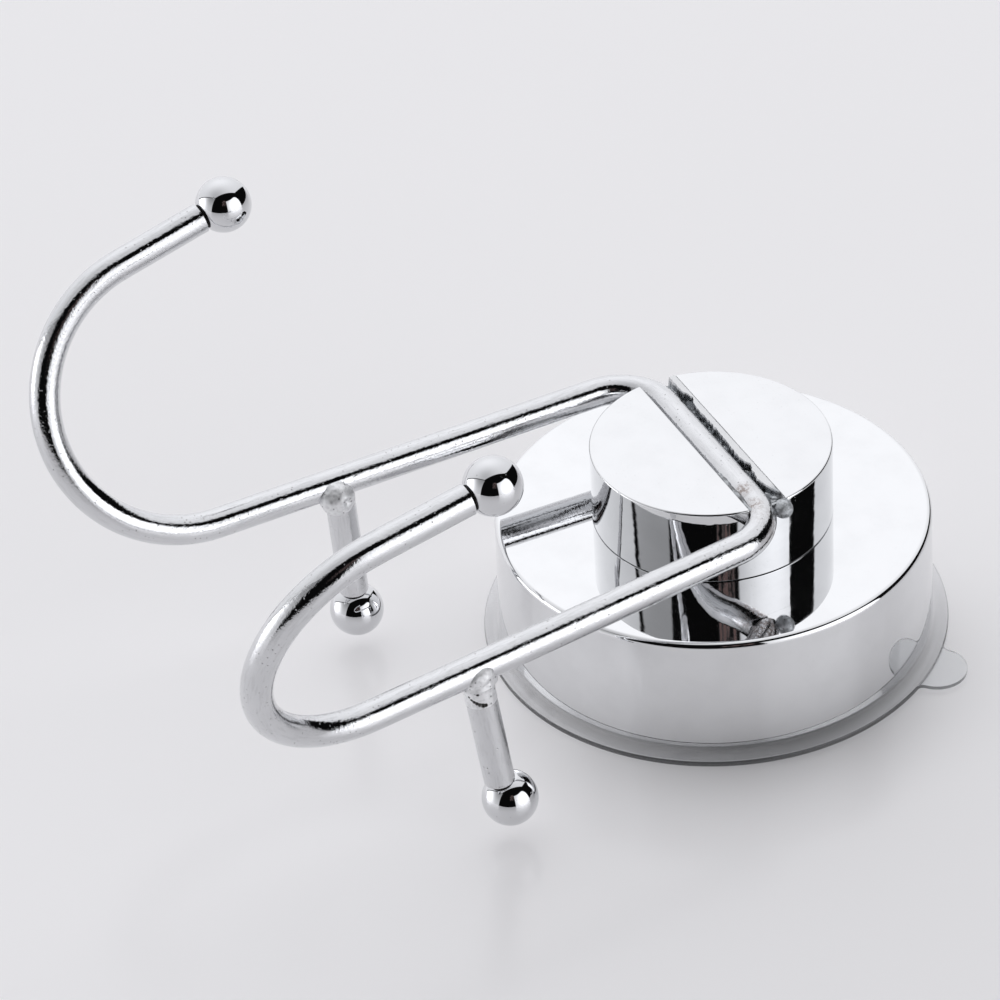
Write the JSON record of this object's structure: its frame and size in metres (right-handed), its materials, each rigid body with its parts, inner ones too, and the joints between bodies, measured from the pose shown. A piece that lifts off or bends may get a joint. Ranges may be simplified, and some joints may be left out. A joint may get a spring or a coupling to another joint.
{
  "type": "suction cup hook",
  "caption": "Screw-down suction hook: clear disc, chromed round cover and a turning knob whose slot holds a bent wire with ball-tipped hooks and ball-footed brace pegs.",
  "frame": {"origin": "centre of the flat suction face", "axes": "+Z along the axis of the disc, cover and knob, away from the wall; the arms run along -Y, which points down when the hook is on a wall; +X to the right of someone who faces the wall"},
  "size_m": [0.0966, 0.1413, 0.0847],
  "materials": {
    "clear_soft_plastic": "clear, soft and glossy",
    "zinc_plated_steel": "bright zinc plating",
    "chromed_cover": "mirror-bright plating",
    "white_nylon": "plain moulded",
    "chromed_knob": "mirror-bright plating",
    "chromed_wire": "bright plating over drawn wire, with fine pits",
    "braze_metal": "rough and dark, partly plated",
    "chromed_ball": "mirror-bright plating",
    "chromed_peg": "plated, a little dull and pitted",
    "chromed_weld": "plated over rough weld"
  },
  "bodies": {
    "base": {"cover": "chromed_cover", "suction_disc": "clear_soft_plastic", "washer": "white_nylon"},
    "stud": {"cup_stud": "zinc_plated_steel"},
    "head": {"knob": "chromed_knob", "hook_wire": "chromed_wire", "slot_braze": "braze_metal", "tip_ball_left": "chromed_ball", "tip_ball_right": "chromed_ball", "peg_left": "chromed_peg", "peg_right": "chromed_peg", "peg_ball_left": "chromed_ball", "peg_ball_right": "chromed_ball", "peg_weld_left": "chromed_weld", "peg_weld_right": "chromed_weld"}
  },
  "joints": [
    {"name": "knob_turn", "type": "hinge", "parent": "base", "child": "head", "pos_m": [0, 0, 0.0238], "axis": [0, 0, 1], "range_deg": [-540, 0]},
    {"name": "stud_lift", "type": "slide", "parent": "base", "child": "stud", "axis": [0, 0, 1], "range_m": [0, 0.0015], "deforming": ["suction_disc"]}
  ],
  "couplings": [
    {"joint": "stud_lift", "follows": "knob_turn", "m_per_rad": -0.00015915}
  ]
}
